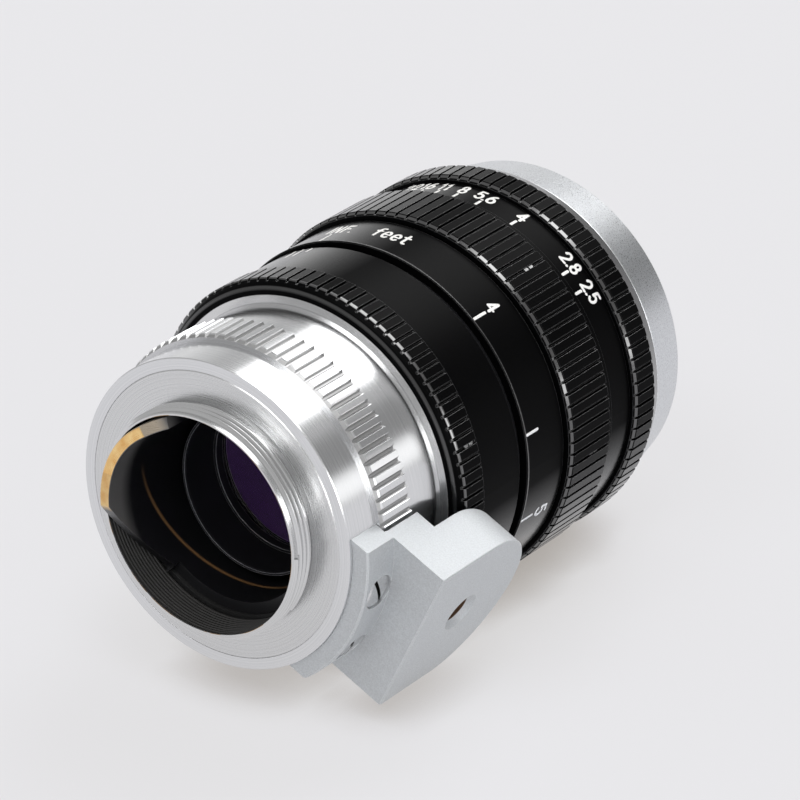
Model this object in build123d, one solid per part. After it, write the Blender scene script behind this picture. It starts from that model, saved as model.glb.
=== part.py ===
from build123d import *
from math import cos, degrees, radians, sin
import os

os.makedirs("parts", exist_ok=True)

# Telephoto prime lens, 90 mm f/2.5, for the 39 mm thread mount, with a coupled rangefinder cam and a
# tripod foot. Millimetres. The origin is the centre of the mount flange's seating face, +Y runs along the
# optical axis to the front glass, and +Z is up in the photograph. An angle "phi" turns from +X to +Z.

# Clearances
FIT = 0.05          # running fit between two turned pieces, on the radius
SEAT = 0.02         # pieces of one body that are screwed or pushed together, on the radius
FREE = 0.35         # pieces that pass each other without touching

# Camera mount
thread_r, thread_end = 19.5, -4.4
flange_r, flange_thick = thread_r + 4.9, 2.5
mouth_r = thread_r - 1.0
mouth_front = 1.9                    # the blackened mouth of the mount ends here

# Head, from the axis outwards: the barrel that slides
head_bore_r = 20.4
head_tail_r = head_bore_r + 1.1
head_rear, head_front = 18.5, 82.5
rear_seat = 41.0
iris_seat = 57.7
cell_seat = 80.0

# Sleeve that turns round the head, and the threads outside it
tail_bore_r = head_tail_r + 1.4
tail_r, tail_rear = tail_bore_r + 1.65, 9.0
head_r = tail_bore_r - FIT
lip_r, lip_rear, lip_front = head_tail_r + FREE, 23.0, 26.0
barrel_bore_r = tail_r + 1.45

# Fixed barrel
waist_r = barrel_bore_r + 1.0
barrel_rear_r, flute_r, sleeve_r = waist_r - 0.6, waist_r + 0.6, waist_r + 1.3
wall_front = 8.0                     # inner wall of the barrel that carries the guide keys
flute_count, flute_phi = 85, 3.3
flute_mouth, flute_floor, flute_deep, flute_rear, flute_front = 1.05, 0.35, 0.5, 7.2, 14.9
waist_end, barrel_front = 23.2, 40.0
index_step, index_front = waist_end + 6.5, barrel_front + 0.05
key_wide, key_front = 3.0, 30.0
key_in, key_out = head_bore_r - 1.2, head_tail_r - 0.3
key_screw_r = (key_in + key_out) / 2
key_phis = (110.0, 290.0)

# Focusing group: the skirt reaches back between the barrel's sleeve and the index ring
head_travel, cam_travel, focus_turn = 7.85, 2.40, 298.7
skirt_in = sleeve_r + FREE
skirt_out, skirt_rear = skirt_in + 0.75, 31.5
carrier_rear, carrier_front = 41.6, 62.0
focus_r = skirt_out + 1.6
focus_grip_r = focus_r + 1.3
focus_rear, focus_step, focus_front = 41.2, 51.7, 64.65
index_r = skirt_out + FREE + 0.75
index_rib_r = index_r + 0.4

# Front of the head, where the aperture ring turns
head_wide_r = sleeve_r - 1.1
head_front_r, head_step = sleeve_r + 0.2, 62.3
aperture_in = head_front_r + FIT
aperture_seat_r = head_front_r + 1.2
aperture_r = aperture_seat_r + 1.2
aperture_grip_r = aperture_r + 1.15
aperture_turn = 70.3
aperture_rear, aperture_step, aperture_front = 64.85, 70.55, 78.67
screw_y = 73.2

# Ribbed grips: outline of one groove
rib_count = 96
groove_mouth, groove_floor, groove_deep = 0.62, 0.34, 0.55

# Iris
iris_bore_r = head_bore_r + 3.05
iris_middle = iris_seat + 2.7
blade_count, blade_thick, blade_tilt = 8, 0.05, 0.08
pin_circle, blade_out_r, blade_end_r, pin_r, slot_play = 18.2, 21.0, 1.4, 0.55, 0.2
drive_in = iris_bore_r - 1.85

# Front ring, cell and filter thread
front_rear, front_end = 78.85, 88.0
front_in = head_front_r - 0.88
front_r = aperture_r - 0.2
filter_r, filter_end = front_r - 4.7, 84.6
cell_r = filter_r - 0.5
front_glass_r, second_glass_r = 20.1, 18.0
front_glass_rear = cell_seat - 3.45
second_rear, third_front = front_glass_rear - 3.15, front_glass_rear - 5.95
cell_rear = third_front - 5.6

# Rear cell and its glass
rear_cell_r, rear_rim_r, rear_rim = 15.8, 14.3, 9.8
rear_glass_r, rear_glass_y = 13.75, 18.0

# Tripod foot, pointing along foot_phi
foot_phi = -25.4
foot_face, foot_half = waist_r + 9.4, 14.5
foot_rear, foot_ledge, foot_hole_y = 7.5, 0.8, 20.4
foot_ledge_r = barrel_rear_r + 3.0
tripod_tap_r, tripod_mouth_r = 2.55, 3.6
foot_screw_y, foot_screw_spread = 4.6, 12.6
foot_screw_r, foot_head_r = 1.5, 3.0

# Rangefinder cam
cam_in, cam_out, cam_rim, cam_tip = 16.16, 18.06, 3.2, -6.4
cam_flange_rear, cam_flange_front = 14.0, 17.5
tongue_start, tongue_stop = 110.0, 232.0

# Grub screws
grub_r = 1.1


def turned(*outline):
    """A body of revolution about the optical axis from (radius, y) corners."""
    return revolve(make_face(Polyline(*outline, close=True)), Axis.Y)


def ring(y0, y1, r_in, r_out):
    return turned((r_in, y0), (r_out, y0), (r_out, y1), (r_in, y1))


def around(shape, phi):
    """Turn a shape about the optical axis, from +X towards +Z."""
    return shape.rotate(Axis.Y, -phi)


def across(y):
    """Plane square to the axis; its x is +X and its y is -Z."""
    return Plane((0, y, 0), x_dir=(1, 0, 0), z_dir=(0, 1, 0))


def radial_pin(r0, r1, y, radius, phi=0.0):
    """Round bar along a radius, from r0 to r1."""
    plane = Plane((r0, y, 0), x_dir=(0, 1, 0), z_dir=(1, 0, 0))
    return around(plane * Cylinder(radius, r1 - r0, align=(Align.CENTER, Align.CENTER, Align.MIN)), phi)


def axial_pin(y0, y1, x, radius):
    """Round bar along the axis direction at x, from y0 to y1."""
    return across(y0) * Pos(x, 0) * Cylinder(radius, y1 - y0,
                                             align=(Align.CENTER, Align.CENTER, Align.MIN))


def polar(r, angle):
    return (r * cos(radians(angle)), r * sin(radians(angle)))


# Grips: straight ribs with narrow milled grooves between them
def ribbed_bar(y0, y1, top_r, count, phase):
    """Bar with the rib outline, before its bore and its end chamfers."""
    pitch = 360.0 / count
    mouth = degrees(groove_mouth / 2 / top_r)
    floor = degrees(groove_floor / 2 / top_r)
    corners = []
    for n in range(count):
        middle = phase + n * pitch
        corners += [polar(top_r, middle - mouth), polar(top_r - groove_deep, middle - floor),
                    polar(top_r - groove_deep, middle + floor), polar(top_r, middle + mouth)]
    return extrude(across(y0) * make_face(Polyline(*corners, close=True)), y1 - y0)


def ribbed_ring(y0, y1, top_r, in_r, rear_slope, front_slope, phase=0.0):
    """Ribs between y0 and y1; each slope is the length over which the rib ends rise."""
    low_r = top_r - groove_deep - 0.05
    outline = [(in_r, y0), (low_r, y0), (top_r + 0.05, y0 + rear_slope)]
    if front_slope:
        outline += [(top_r + 0.05, y1 - front_slope), (low_r, y1)]
    else:
        outline += [(top_r + 0.05, y1)]
    return ribbed_bar(y0, y1, top_r, rib_count, phase) & turned(*outline, (in_r, y1))


# Slotted grub screws that hold a grip ring on the ring inside it
def grub_screws(tip_r, top_r, y, radius, phis):
    screw = radial_pin(tip_r, top_r, y, radius)
    screw -= Pos(top_r, y, 0) * Box(0.8, 0.45, 4 * radius)
    return [around(screw, phi) for phi in phis]


def grub_holes(tip_r, top_r, y, radius, phis):
    return [radial_pin(tip_r - 0.1, top_r, y, radius + SEAT, phi) for phi in phis]


index_screws = dict(tip_r=sleeve_r - 0.7, top_r=index_rib_r - 0.25, y=27.7, radius=grub_r,
                    phis=[19.4, 139.4, 259.4])
focus_screws = dict(tip_r=skirt_out - 0.8, top_r=focus_grip_r - 0.3, y=58.6, radius=grub_r,
                    phis=[-5.2 + 60 * n for n in range(6)])
aperture_screws = dict(tip_r=head_front_r + 0.5, top_r=aperture_grip_r - 0.3, y=screw_y, radius=grub_r,
                       phis=[-19.5, 100.5])
drive_screw_phi = 220.5
drive_screw_r, drive_screw_tip = 0.9, drive_in + 0.4
drive_screw_neck = head_front_r + 1.0


# Fixed group
def mount_ring():
    return turned(
        (mouth_r, thread_end), (mouth_r + 0.35, thread_end), (thread_r, thread_end + 0.5), (thread_r, 0),
        (flange_r - 0.15, 0), (flange_r, 0.15), (flange_r, flange_thick), (mouth_r + 1.2, flange_thick),
        (mouth_r + 1.2, mouth_front), (mouth_r, mouth_front))


def rear_barrel():
    bore = cam_out + FIT
    body = turned(
        (bore, flange_thick), (flange_r + SEAT, flange_thick), (flange_r + SEAT, 0.1),
        (barrel_rear_r - 0.15, 0.1), (barrel_rear_r, 0.25), (barrel_rear_r, flute_rear),
        (flute_r - flute_deep, flute_rear), (flute_r, flute_rear + 0.8), (flute_r, flute_front),
        (waist_r, flute_front), (waist_r, waist_end + 1.4), (sleeve_r, waist_end + 1.4),
        (sleeve_r, barrel_front - 0.3), (sleeve_r - 0.3, barrel_front), (barrel_bore_r, barrel_front),
        (barrel_bore_r, wall_front), (bore, wall_front))
    body -= flutes()
    body -= grub_holes(**index_screws)
    body -= [foot_screw(SEAT).moved(Location((0, 0, 0), (0, -phi, 0))) for phi in foot_screw_phis()]
    for phi in key_phis:
        body -= around(axial_pin(flange_thick, 4.3, key_screw_r, 1.5)
                       + axial_pin(4.0, wall_front, key_screw_r, 0.85), phi)
    return body


def flutes():
    """Milled flutes with sloping sides, open at both ends; they run out in the band's rear chamfer."""
    low, high = flute_r - flute_deep, flute_r + flute_deep
    flare = (flute_mouth - flute_floor) / 2
    outline = Polyline((low, -flute_floor / 2), (high, -flute_mouth / 2 - flare),
                       (high, flute_mouth / 2 + flare), (low, flute_floor / 2), close=True)
    cutter = extrude(across(flute_rear - 0.1) * make_face(outline), flute_front - flute_rear + 0.2)
    return [around(cutter, flute_phi + 360.0 * n / flute_count) for n in range(flute_count)]


def index_ring():
    """Fixed ring with a rounded rear shoulder, a ribbed band and the smooth band for the index."""
    seat, shoulder = sleeve_r + SEAT, waist_end + 0.9
    round_end = index_rib_r - groove_deep + 0.06
    rear = revolve(make_face([
        Line((waist_r + SEAT, waist_end), (waist_r + 1.4, waist_end)),
        ThreePointArc((waist_r + 1.4, waist_end), (round_end - 0.75, waist_end + 0.27), (round_end, shoulder)),
        Line((round_end, shoulder), (seat, shoulder)),
        Line((seat, shoulder), (waist_r + SEAT, shoulder)),
        Line((waist_r + SEAT, shoulder), (waist_r + SEAT, waist_end))]), Axis.Y)
    collar = ring(shoulder, waist_end + 1.38, waist_r + SEAT, index_rib_r - groove_deep - 0.1)
    ribs = ribbed_ring(shoulder - 0.1, index_step, index_rib_r, seat, 0.65, 0.25)
    smooth = turned((seat, index_step), (index_r - 0.15, index_step), (index_r, index_step + 0.15),
                    (index_r, index_front - 0.45), (index_r - 0.45, index_front),
                    (skirt_out + FREE, index_front), (skirt_out + FREE, skirt_rear - 0.3),
                    (seat, skirt_rear - 0.3))
    return rear + collar + ribs + smooth - grub_holes(**index_screws)


def fixed_helicoid():
    return ring(wall_front + 2, barrel_front - 2, tail_r + FIT, barrel_bore_r - SEAT)


def guide_keys():
    """Two keys that let the head slide but not turn."""
    key = Box(key_out - key_in, key_front - wall_front, key_wide,
              align=(Align.MIN, Align.MIN, Align.CENTER)).moved(Location((key_in, wall_front, 0)))
    key = chamfer(key.edges().filter_by(Axis.Z).group_by(Axis.Y)[-1], 0.5)
    key -= axial_pin(wall_front - 1, 12.6, key_screw_r, 0.85)
    return [around(key, phi) for phi in key_phis]


def guide_key_screws():
    screw = axial_pin(2.7, 4.2, key_screw_r, 1.45) + axial_pin(4.2, 12.2, key_screw_r, 0.8)
    screw -= Pos(key_screw_r, 2.7, 0) * Box(4, 0.8, 0.45)
    return [around(screw, phi) for phi in key_phis]


# Tripod foot: one milled block with a round front end, screwed on the barrel through its ledge
def foot_screw_phis():
    return (foot_phi - foot_screw_spread, foot_phi + foot_screw_spread)


def foot_screw(grow=0.0):
    """Cheese-headed screw along +X, with its head sunk in the ledge."""
    head = barrel_rear_r + 0.9
    return (radial_pin(head - 5.3 - grow, head, foot_screw_y, foot_screw_r + grow)
            + radial_pin(head - grow, foot_ledge_r - 0.15 + 10 * grow, foot_screw_y, foot_head_r + grow))


def tripod_foot():
    """Built pointing along +X, then turned to its place."""
    inner = barrel_rear_r - 6.0
    plan = (Pos((foot_rear + foot_hole_y) / 2, 0) * Rectangle(foot_hole_y - foot_rear, 2 * foot_half)
            + Pos(foot_hole_y, 0) * Circle(foot_half)
            & Pos((foot_rear + 60) / 2, 0) * Rectangle(60 - foot_rear, 80))
    plane = Plane((inner, 0, 0), x_dir=(0, 1, 0), z_dir=(1, 0, 0))
    block = extrude(plane * plan, foot_face - inner)
    block = chamfer(block.faces().sort_by(Axis.X)[-1].edges(), 0.25)
    block -= ring(0, 15.6, 0, flute_r + 0.5) + ring(15.5, 40, 0, index_rib_r + 0.4)
    ledge = turned((barrel_rear_r + SEAT, foot_ledge), (foot_ledge_r, foot_ledge), (foot_ledge_r, foot_rear),
                   (flute_r + 0.4, foot_rear), (flute_r + 0.4, flute_rear - 0.1),
                   (barrel_rear_r + SEAT, flute_rear - 0.1))
    ledge = chamfer(ledge.edges().group_by(Axis.Y)[0].sort_by(SortBy.RADIUS)[-1], 0.3)
    ledge &= Box(60, 20, 2 * foot_half, align=(Align.MIN, Align.CENTER, Align.CENTER))
    foot = block + ledge
    foot -= [around(foot_screw(SEAT), spread) for spread in (-foot_screw_spread, foot_screw_spread)]
    foot -= radial_pin(barrel_rear_r - 1, foot_face + 1, foot_hole_y, tripod_tap_r)
    mouth = Plane((foot_face, foot_hole_y, 0), x_dir=(0, 1, 0), z_dir=(-1, 0, 0))
    depth = tripod_mouth_r - tripod_tap_r
    foot -= mouth * Cone(tripod_mouth_r, tripod_tap_r, depth,
                         align=(Align.CENTER, Align.CENTER, Align.MIN))
    return around(foot, foot_phi)


def foot_screws():
    slot = Pos(foot_ledge_r - 0.15, foot_screw_y, 0) * Box(1.4, 0.7, 8).rotate(Axis.X, 25)
    screw = foot_screw() - slot
    return [around(screw, phi) for phi in foot_screw_phis()]


# Rangefinder cam: slides in the mount and shows the focus distance to the camera
def rangefinder_cam():
    """A ring deep in the mount with one long tongue, whose two ends are milled to slopes."""
    cam = turned(
        (cam_in, cam_tip), (cam_out - 0.15, cam_tip), (cam_out, cam_tip + 0.15),
        (cam_out, cam_flange_rear), (tail_bore_r - FIT, cam_flange_rear),
        (tail_bore_r - FIT, cam_flange_front), (cam_in, cam_flange_front))
    gap = 360.0 - tongue_stop + tongue_start
    for start in (tongue_stop, tongue_stop + gap / 2 - 1):
        cam -= sector(cam_tip - 1, cam_rim, cam_in - 1, cam_out + 1, start, start + gap / 2 + 1)
    cam -= milled_slope(123.0, 32.0)
    cam -= milled_slope(183.0, -34.0)
    for phi in key_phis:
        slot = Box(9, 8, key_wide + 0.2).moved(Location((key_in - 0.3 + 4.5, 16, 0)))
        cam -= around(slot, phi)
    return cam


def milled_slope(phi, angle):
    """Wedge of waste behind a plane that leaves the tip of the tongue at phi."""
    waste = Box(20, 20, 15.6, align=(Align.CENTER, Align.MAX, Align.MAX if angle > 0 else Align.MIN))
    return around(Pos(cam_out - 1, cam_tip, 0) * waste.rotate(Axis.X, angle), phi)


def sector(y0, y1, r_in, r_out, start, stop):
    """Part of a ring between two angles phi."""
    face = make_face(Polyline((r_in, y0), (r_out, y0), (r_out, y1), (r_in, y1), close=True))
    return around(revolve(face, Axis.Y, stop - start), stop)


# Focusing ring and the threaded sleeve inside it
def focus_sleeve():
    sleeve = turned(
        (tail_bore_r, tail_rear), (tail_r, tail_rear), (tail_r, carrier_rear - 1.2),
        (skirt_in, carrier_rear - 1.2), (skirt_in, skirt_rear), (skirt_out, skirt_rear),
        (skirt_out, carrier_front), (head_wide_r + 0.3, carrier_front), (head_wide_r + 0.3, 50.0),
        (tail_bore_r, 50.0), (tail_bore_r, lip_front), (lip_r, lip_front), (lip_r, lip_rear),
        (tail_bore_r, lip_rear))
    return sleeve - grub_holes(**focus_screws)


def focus_scale_ring():
    inner = skirt_out + SEAT
    return turned((inner, focus_rear), (focus_r - 0.1, focus_rear), (focus_r + 0.08, focus_rear + 0.18),
                  (focus_r, focus_rear + 0.5), (focus_r, focus_step - 0.5), (focus_r - 0.4, focus_step - 0.5),
                  (focus_r - 0.4, focus_step), (inner, focus_step))


def focus_grip_ring():
    inner = skirt_out + SEAT
    lip_start, lip_top = focus_front - 1.7, focus_grip_r - 0.9
    ribs = ribbed_ring(focus_step, lip_start, focus_grip_r, inner, 1.0, 0.3, phase=360.0 / rib_count / 2)
    lip = turned((inner, lip_start), (lip_top, lip_start), (lip_top, focus_front - 0.15),
                 (lip_top - 0.15, focus_front), (inner, focus_front))
    return ribs + lip - grub_holes(**focus_screws)


# Head barrel
def head_barrel():
    head = turned(
        (head_bore_r, head_rear), (head_tail_r, head_rear), (head_tail_r, lip_front + 0.1),
        (head_r, lip_front + 0.1), (head_r, 50.3), (head_wide_r, 50.3), (head_wide_r, head_step),
        (head_front_r, head_step), (head_front_r, front_rear - 0.1), (front_in - SEAT, front_rear - 0.1),
        (front_in - SEAT, head_front), (cell_r + 0.05, head_front), (cell_r + 0.05, cell_seat),
        (iris_bore_r, cell_seat), (iris_bore_r, iris_seat), (head_bore_r + 0.6, iris_seat),
        (head_bore_r + 0.6, rear_seat + 2), (head_bore_r - 3.4, rear_seat + 2),
        (head_bore_r - 3.4, rear_seat), (head_bore_r, rear_seat))
    for phi in key_phis:
        slot = Box(4, key_front + 2 - head_rear, key_wide + 0.1).moved(
            Location((key_in + 0.45, (key_front + head_rear) / 2, 0)))
        head -= around(slot, phi)
    travel = aperture_turn + 8.0
    start = drive_screw_phi - 4.0
    head -= sector(screw_y - 1.3, screw_y + 1.3, head_bore_r - 0.4, head_front_r + 1.5, start, start + travel)
    return head


def head_retaining_ring():
    """Ring behind the sleeve's lip: with the head's shoulder it keeps the head in the sleeve."""
    return ring(head_rear + 1, lip_rear - 0.1, head_tail_r + SEAT, tail_bore_r - 0.3)


# Iris: eight thin tilted blades, each on a pivot pin in the housing and a drive pin in a slot
blade_swing = aperture_turn / 2
closing_shift = 2 * pin_circle * sin(radians(blade_swing / 2))
iris_open = closing_shift / (1 - 2.5 / 22)
pin_span = 180.0 - blade_swing       # from pivot pin to drive pin, so that the slots are radial
slot_low = pin_circle * (2 * cos(radians(blade_swing / 2)) - 1)
tilt_angle = pin_span / 2 + 90.0
drive_rear = iris_middle + 1.95


def blade_height(x, y):
    """Height of a blade's middle above the middle plane at a point of its own plan."""
    return blade_tilt * (x * cos(radians(tilt_angle)) + y * sin(radians(tilt_angle)))


def blade_plan():
    """Crescent with a full width in its middle and narrow ends at the two pins."""
    middle, full = pin_span / 2, 25.0
    inner, outer = [], []
    for n in range(37):
        angle = pin_span * n / 36
        taper = max(0.0, (abs(angle - middle) - full) / (middle - full))
        inner.append(polar(iris_open + (pin_circle - blade_end_r - iris_open) * taper, angle))
        outer.append(polar(blade_out_r + (pin_circle + blade_end_r - blade_out_r) * taper, angle))
    band = make_face(Polyline(*inner, *reversed(outer), close=True))
    ends = [Pos(*polar(pin_circle, angle)) * Circle(blade_end_r) for angle in (0, pin_span)]
    return band + ends


def iris_blade():
    """One blade in its closed place, with its pivot on +X."""
    lean = Vector(cos(radians(tilt_angle)), 0, -sin(radians(tilt_angle))) * blade_tilt
    slab_plane = Plane((0, iris_middle, 0), z_dir=Vector(0, 1, 0) - lean)
    blade = extrude(across(iris_middle - 3) * blade_plan(), 6) & (slab_plane * Box(70, 70, blade_thick))
    pivot, drive = polar(pin_circle, 0), polar(pin_circle, pin_span)
    low = iris_middle + blade_height(*pivot)
    high = iris_middle + blade_height(*drive)
    pin_align = (Align.CENTER, Align.CENTER, Align.MIN)
    foot_y, top_y = iris_seat + 0.05, drive_rear + 0.55
    blade += across(foot_y) * Pos(*pivot) * Cylinder(pin_r, low - foot_y, align=pin_align)
    blade += across(high) * Pos(*drive) * Cylinder(pin_r, top_y - high, align=pin_align)
    return blade.rotate(Axis((pin_circle, 0, 0), (0, 1, 0)), blade_swing)


def iris_housing():
    plate, top = iris_seat + 0.8, drive_rear - 0.2
    housing = turned((iris_open, iris_seat), (iris_bore_r - SEAT, iris_seat), (iris_bore_r - SEAT, top),
                     (iris_bore_r - 0.85, top), (iris_bore_r - 0.85, plate), (iris_open, plate))
    return housing - [around(axial_pin(iris_seat - 1, plate + 0.5, pin_circle, pin_r + FIT), 360 * n / blade_count)
                      for n in range(blade_count)]


def iris_drive_ring():
    """Slotted plate and tube that the drive screw turns."""
    outer = iris_bore_r - FIT
    drive = turned((iris_open + 0.4, drive_rear), (outer, drive_rear), (outer, screw_y + 1.8),
                   (drive_in, screw_y + 1.8), (drive_in, drive_rear + 0.6), (iris_open + 0.4, drive_rear + 0.6))
    slot = Pos((slot_low + pin_circle) / 2, 0) * SlotCenterToCenter(
        pin_circle - slot_low, 2 * (pin_r + slot_play))
    cutter = extrude(across(drive_rear - 1) * slot, 3)
    rest = pin_span + aperture_turn
    drive -= [around(cutter, 360.0 * n / blade_count - rest) for n in range(blade_count)]
    return drive - radial_pin(drive_in - 1, outer + 1, screw_y, drive_screw_r + SEAT, drive_screw_phi)


# Aperture ring
def aperture_scale_ring():
    band = turned((aperture_in, aperture_rear), (aperture_r - 0.12, aperture_rear),
                  (aperture_r, aperture_rear + 0.12), (aperture_r, aperture_step - 0.15),
                  (aperture_r - 0.12, aperture_step - 0.05), (aperture_seat_r, aperture_step - 0.05),
                  (aperture_seat_r, aperture_front - 0.27), (aperture_in, aperture_front - 0.27))
    return band - grub_holes(**aperture_screws) - drive_screw_hole()


def aperture_grip_ring():
    inner = aperture_seat_r + SEAT
    rib_end = aperture_front - 2.67
    ribs = ribbed_ring(aperture_step, rib_end, aperture_grip_r, inner, 1.0, 0.0)
    rim = turned((inner, rib_end), (aperture_grip_r - 0.15, rib_end), (aperture_r - 0.1, aperture_front),
                 (inner, aperture_front))
    return ribs + rim - grub_holes(**aperture_screws) - drive_screw_hole()


def drive_screw_hole():
    return (radial_pin(drive_in, drive_screw_neck - 0.1, screw_y, drive_screw_r + SEAT, drive_screw_phi)
            + radial_pin(drive_screw_neck - 0.2, aperture_grip_r + 1, screw_y, grub_r + SEAT, drive_screw_phi))


def aperture_drive_screw():
    top = aperture_grip_r - 0.3
    screw = (radial_pin(drive_screw_tip, drive_screw_neck, screw_y, drive_screw_r)
             + radial_pin(drive_screw_neck - 0.05, top, screw_y, grub_r))
    return around(screw - Pos(top, screw_y, 0) * Box(0.8, 0.45, 4.4), drive_screw_phi)


# Front ring, cells and glass
def front_ring():
    """Tapers to the front; its bore carries the filter thread."""
    end_r = front_r - 1.8
    return turned((front_in, front_rear), (front_r - 0.1, front_rear), (front_r, front_rear + 0.1),
                  (end_r, front_end - 0.35), (end_r - 0.3, front_end), (filter_r + 0.35, front_end),
                  (filter_r, front_end - 0.35), (filter_r, filter_end), (cell_r + 0.15, filter_end),
                  (cell_r + 0.15, head_front + 0.1), (front_in, head_front + 0.1))


def front_cell():
    glass, tube, back = front_glass_r + SEAT, second_glass_r + SEAT, cell_seat + 3.4
    return turned((glass, front_glass_rear - 0.05), (glass, back), (cell_r, back), (cell_r, cell_seat),
                  (iris_bore_r - 0.15, cell_seat), (iris_bore_r - 0.15, front_glass_rear - 0.05),
                  (drive_in - 0.4, front_glass_rear - 0.05), (drive_in - 0.4, cell_rear),
                  (tube - 1.42, cell_rear), (tube - 1.42, cell_rear + 1), (tube, cell_rear + 1),
                  (tube, front_glass_rear - 0.05))


def front_retaining_ring():
    inner, low, back = front_glass_r - 0.8, front_glass_r - SEAT, cell_seat + 3.42
    return turned((inner, back - 2.37), (low, back - 2.37), (low, back), (cell_r, back), (cell_r, back + 0.98),
                  (cell_r - 0.9, back + 0.98), (inner, back + 0.08))


def lens_element(y_rear, y_front, radius, rear_sag, front_sag):
    """Glass disc; a positive sag bulges towards the front, on either face."""
    rear = Line((0, y_rear), (radius, y_rear)) if not rear_sag else ThreePointArc(
        (0, y_rear), (radius * 0.7, y_rear - rear_sag * 0.49), (radius, y_rear - rear_sag))
    front = ThreePointArc((0, y_front), (radius * 0.7, y_front - front_sag * 0.49),
                          (radius, y_front - front_sag))
    rim = Line((radius, y_rear - rear_sag), (radius, y_front - front_sag))
    axis = Line((0, y_front), (0, y_rear))
    return revolve(make_face([rear, rim, front, axis]), Axis.Y)


def front_element():
    return lens_element(front_glass_rear, front_glass_rear + 7.75, front_glass_r, 0.0, 3.6)


def second_element():
    return lens_element(second_rear, second_rear + 2.8, second_glass_r, 0.8, 2.6)


def third_element():
    return lens_element(third_front - 1.4, third_front, second_glass_r, 0.0, -1.2)


def element_spacers():
    """Plain rings that set the air spaces of the front cell."""
    inner = second_glass_r - 0.8
    return [ring(cell_rear + 1, third_front - 1.4, inner - 0.6, second_glass_r),
            ring(third_front + 1.22, second_rear - 0.85, inner + 0.1, second_glass_r),
            ring(second_rear + 0.46, front_glass_rear - 0.03, inner, second_glass_r)]


def rear_cell():
    """Long tube that carries the rear glass back into the mount; thin rim at its rear end."""
    seat, glass = rear_glass_y + 3.75, rear_glass_r + 0.05
    return turned((glass + 0.1, rear_rim), (rear_rim_r, rear_rim), (rear_rim_r, rear_rim + 2.5),
                  (rear_cell_r, rear_rim + 4), (rear_cell_r, rear_seat - 3), (head_bore_r - SEAT, rear_seat - 3),
                  (head_bore_r - SEAT, rear_seat), (rear_glass_r - 0.4, rear_seat), (rear_glass_r - 0.4, seat),
                  (glass, seat), (glass, rear_rim + 0.3))


def rear_element():
    return lens_element(rear_glass_y, rear_glass_y + 5.0, rear_glass_r, -0.9, 1.4)


def rear_retaining_ring():
    return ring(rear_glass_y - 0.9, rear_glass_y + 0.8, rear_glass_r - 0.5, rear_glass_r + 0.03)


def save(name, shape):
    """Write one node; a list of separate solids becomes one group."""
    solids = shape if isinstance(shape, list) else [shape]
    solids = [solid for piece in solids for solid in piece.solids()]
    export_step(solids[0] if len(solids) == 1 else Compound(children=solids), f"parts/{name}.step")


save("mount_ring", mount_ring())
save("rear_barrel", rear_barrel())
save("index_ring", index_ring())
save("index_set_screws", grub_screws(**index_screws))
save("fixed_helicoid", fixed_helicoid())
save("guide_keys", guide_keys())
save("guide_key_screws", guide_key_screws())
save("tripod_foot", tripod_foot())
save("foot_screws", foot_screws())
save("rangefinder_cam", rangefinder_cam())
save("focus_sleeve", focus_sleeve())
save("focus_scale_ring", focus_scale_ring())
save("focus_grip_ring", focus_grip_ring())
save("focus_set_screws", grub_screws(**focus_screws))
save("head_barrel", head_barrel())
save("head_retaining_ring", head_retaining_ring())
save("iris_housing", iris_housing())
for number in range(blade_count):
    save(f"iris_blade_{number + 1}", around(iris_blade(), 360.0 * number / blade_count))
save("iris_drive_ring", iris_drive_ring())
save("aperture_scale_ring", aperture_scale_ring())
save("aperture_grip_ring", aperture_grip_ring())
save("aperture_set_screws", grub_screws(**aperture_screws))
save("aperture_drive_screw", aperture_drive_screw())
save("front_ring", front_ring())
save("front_cell", front_cell())
save("front_retaining_ring", front_retaining_ring())
save("front_element", front_element())
save("second_element", second_element())
save("third_element", third_element())
save("element_spacers", element_spacers())
save("rear_cell", rear_cell())
save("rear_element", rear_element())
save("rear_retaining_ring", rear_retaining_ring())
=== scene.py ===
import math

import bmesh
import bpy
from mathutils import Matrix, Vector


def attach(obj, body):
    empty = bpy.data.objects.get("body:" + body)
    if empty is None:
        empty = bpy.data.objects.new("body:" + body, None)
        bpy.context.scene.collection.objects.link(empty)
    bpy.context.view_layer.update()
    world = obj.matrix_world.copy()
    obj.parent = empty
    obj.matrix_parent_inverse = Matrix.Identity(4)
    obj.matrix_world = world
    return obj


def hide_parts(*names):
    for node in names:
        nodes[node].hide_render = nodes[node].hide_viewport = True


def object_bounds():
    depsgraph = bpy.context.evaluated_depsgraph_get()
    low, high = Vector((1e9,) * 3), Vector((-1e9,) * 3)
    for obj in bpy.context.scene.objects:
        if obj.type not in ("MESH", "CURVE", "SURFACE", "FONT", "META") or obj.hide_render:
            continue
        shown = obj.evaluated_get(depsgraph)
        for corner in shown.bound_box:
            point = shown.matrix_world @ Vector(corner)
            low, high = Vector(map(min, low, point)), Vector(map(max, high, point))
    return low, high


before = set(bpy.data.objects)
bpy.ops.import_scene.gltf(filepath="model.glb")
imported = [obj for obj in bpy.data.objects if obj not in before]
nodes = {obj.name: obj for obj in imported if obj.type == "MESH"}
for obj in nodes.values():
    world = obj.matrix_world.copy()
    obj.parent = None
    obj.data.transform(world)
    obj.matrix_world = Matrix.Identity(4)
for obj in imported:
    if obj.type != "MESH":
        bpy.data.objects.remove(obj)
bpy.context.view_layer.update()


# Camera
# The camera stands above and behind the lens, on the side of the tripod foot, as in the photograph.
# A long focal length keeps the rings nearly in parallel, so little perspective shows.
camera_data = bpy.data.cameras.new("photo_camera")
camera_data.lens, camera_data.sensor_width = 225.0, 36.0
camera_data.clip_start, camera_data.clip_end = 0.05, 20.0
camera = bpy.data.objects.new("photo_camera", camera_data)
camera.location = (0.4355, -0.5420, 0.3640)
camera.rotation_euler = (math.radians(90 - 26.331), 0, math.radians(36.388))
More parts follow.
